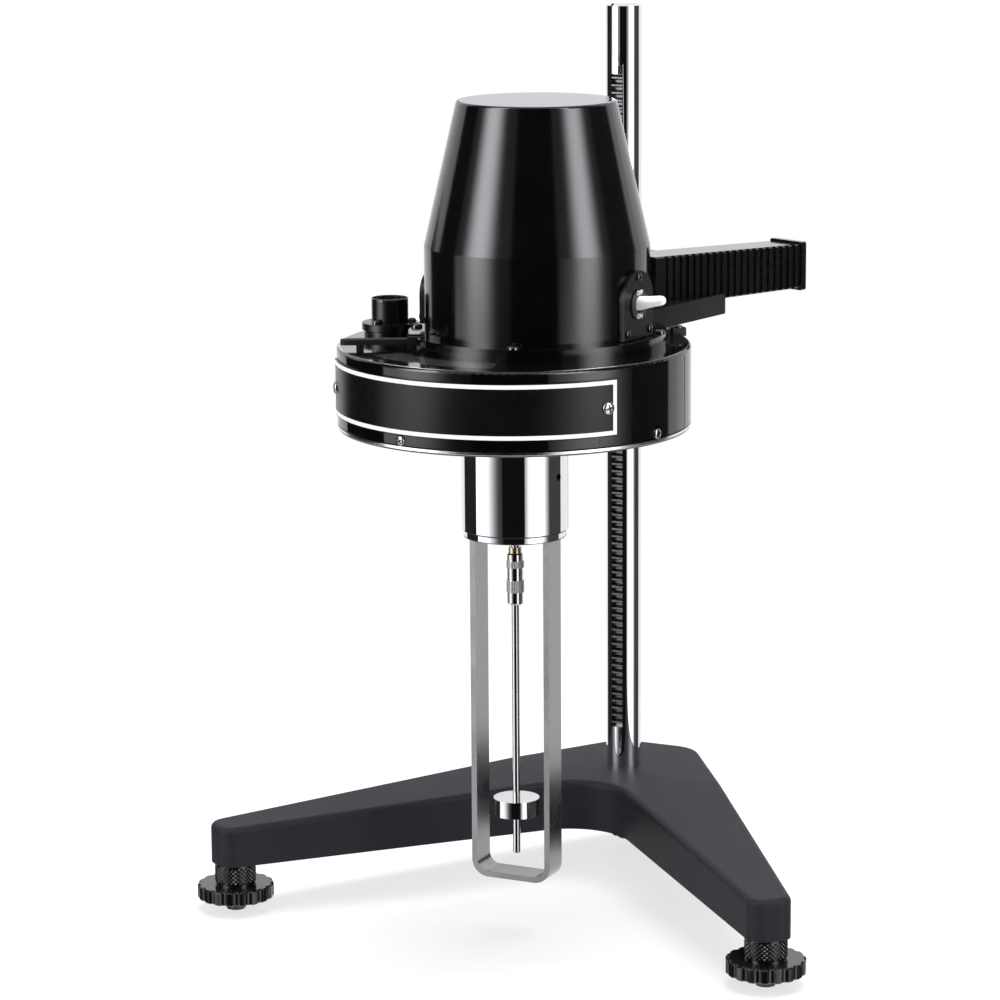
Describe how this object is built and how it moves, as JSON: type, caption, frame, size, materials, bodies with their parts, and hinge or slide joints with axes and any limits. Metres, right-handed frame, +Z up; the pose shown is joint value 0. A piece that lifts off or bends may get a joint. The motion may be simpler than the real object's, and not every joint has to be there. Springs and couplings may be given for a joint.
{
  "type": "rotational viscometer",
  "caption": "Bench viscometer: round motor head with dial and guarded rotor, raised by rack and pinion on a chrome column over a V-shaped base with levelling feet.",
  "frame": {"origin": "on the bench, under the axis of the rotor", "axes": "+Z up, +Y to the rear where the column stands, +X to the right of someone facing the front"},
  "size_m": [0.268, 0.2245, 0.369],
  "materials": {
    "base_paint": "fine matt charcoal paint",
    "black_enamel": "satin black paint",
    "drum_gloss": "high gloss black lacquer",
    "cover_paint": "semi-gloss black paint",
    "chrome": "bright chrome plate",
    "steel": "turned steel",
    "screw_steel": "plated screws",
    "brass": "turned brass",
    "aluminium": "plain milled",
    "knob_plastic": "glossy black moulding",
    "black_plastic": "matt black moulding",
    "grip_plastic": "satin black ribbed moulding",
    "plate_black": "satin black plate with a light edge line",
    "white_plastic": "white moulding",
    "dial_white": "matt white dial paint",
    "glass": "clear window",
    "vial_glass": "tinted level liquid under glass"
  },
  "bodies": {
    "base": {"base_casting": "base_paint", "column": "chrome", "column_rack": "steel", "column_bolt": "screw_steel"},
    "left_foot": {"left_foot": "knob_plastic"},
    "right_foot": {"right_foot": "knob_plastic"},
    "rear_foot": {"rear_foot": "knob_plastic"},
    "lift_knob": {"lift_pinion": "steel", "lift_knob": "black_plastic"},
    "clamp": {"clamp_screw": "black_plastic"},
    "toggle": {"toggle_lever": "white_plastic"},
    "speed_knob": {"speed_knob": "black_plastic"},
    "pointer_lever": {"pointer_lever": "black_enamel"},
    "plunger": {"plunger": "steel"},
    "motor_pinion": {"motor_pinion": "brass"},
    "dial": {"drive_gear": "brass", "drive_tube": "steel", "dial": "dial_white", "pivot_bearing": "brass"},
    "rotor": {"pivot_shaft": "steel", "pointer": "aluminium", "hairspring": "steel", "coupling": "chrome", "coupling_bush": "brass", "rotor": "chrome"},
    "head": {"lift_bracket": "black_enamel", "bracket_bushes": "brass", "pinion_cover": "black_enamel", "clamp_nut": "screw_steel", "head_arm": "black_enamel", "bracket_screws": "screw_steel", "hand_grip": "grip_plastic", "grip_end_plate": "grip_plastic", "drum_shell": "drum_gloss", "drum_floor": "black_enamel", "nameplate": "plate_black", "drum_screws": "screw_steel", "dial_window": "glass", "motor_cover": "cover_paint", "cover_screws": "screw_steel", "switch_plate": "plate_black", "inlet_plate": "plate_black", "plate_screws": "screw_steel", "switch_body": "black_plastic", "inlet_socket": "black_plastic", "speed_switch": "black_plastic", "speed_plate": "plate_black", "motor_plate": "aluminium", "pillars": "steel", "motor": "steel", "top_bearing": "brass", "sleeve": "chrome", "sleeve_screws": "screw_steel", "guard_ring": "chrome", "rotor_guard": "chrome", "lower_bearing": "black_plastic", "level_housing": "black_enamel", "level_vial": "vial_glass", "level_screws": "screw_steel", "lever_bracket": "screw_steel"}
  },
  "joints": [
    {"name": "left_foot_turn", "type": "hinge", "parent": "base", "child": "left_foot", "pos_m": [-0.1183, -0.0239, 0.01], "axis": [0, 0, 1], "continuous": true},
    {"name": "right_foot_turn", "type": "hinge", "parent": "base", "child": "right_foot", "pos_m": [0.1183, -0.0239, 0.01], "axis": [0, 0, 1], "continuous": true},
    {"name": "rear_foot_turn", "type": "hinge", "parent": "base", "child": "rear_foot", "pos_m": [0, 0.132, 0.01], "axis": [0, 0, 1], "continuous": true},
    {"name": "head_lift", "type": "slide", "parent": "base", "child": "head", "axis": [0, 0, 1], "range_m": [-0.018, 0.095]},
    {"name": "lift_knob_turn", "type": "hinge", "parent": "head", "child": "lift_knob", "pos_m": [0, 0.0935, 0.23], "axis": [1, 0, 0], "range_deg": [-606, 116]},
    {"name": "clamp_turn", "type": "hinge", "parent": "head", "child": "clamp", "pos_m": [0, 0.135, 0.224], "axis": [1, 0, 0], "range_deg": [0, 270]},
    {"name": "switch_toggle", "type": "hinge", "parent": "head", "child": "toggle", "pos_m": [0.0511, 0.00075, 0.26045], "axis": [0.1219, 0.9925, 0], "range_deg": [0, 20]},
    {"name": "speed_knob_turn", "type": "hinge", "parent": "head", "child": "speed_knob", "pos_m": [-0.02314, 0.03896, 0.264], "axis": [-0.682, 0.7314, 0], "range_deg": [0, 270]},
    {"name": "lever_press", "type": "hinge", "parent": "head", "child": "pointer_lever", "pos_m": [-0.03, -0.0276, 0.24495], "axis": [0.459, -0.8884, 0], "range_deg": [0, 2.8], "stiffness_Nm_per_rad": 0.05, "springref_deg": -5.73},
    {"name": "plunger_slide", "type": "slide", "parent": "head", "child": "plunger", "axis": [0, 0, -1], "range_m": [0, 0.00105], "stiffness_N_per_m": 20, "springref_m": -0.001},
    {"name": "dial_turn", "type": "hinge", "parent": "head", "child": "dial", "pos_m": [0, 0, 0.234], "axis": [0, 0, 1], "continuous": true},
    {"name": "motor_pinion_turn", "type": "hinge", "parent": "head", "child": "motor_pinion", "pos_m": [0.01707, 0.01388, 0.2485], "axis": [0, 0, 1], "continuous": true},
    {"name": "rotor_lag", "type": "hinge", "parent": "dial", "child": "rotor", "pos_m": [0, 0, 0.2], "axis": [0, 0, 1], "range_deg": [0, 80], "stiffness_Nm_per_rad": 0.000048}
  ],
  "couplings": [
    {"joint": "lift_knob_turn", "follows": "head_lift", "rad_per_m": -111.11},
    {"joint": "lever_press", "follows": "plunger_slide", "rad_per_m": 46.512},
    {"joint": "motor_pinion_turn", "follows": "dial_turn", "ratio": -2.6667}
  ]
}
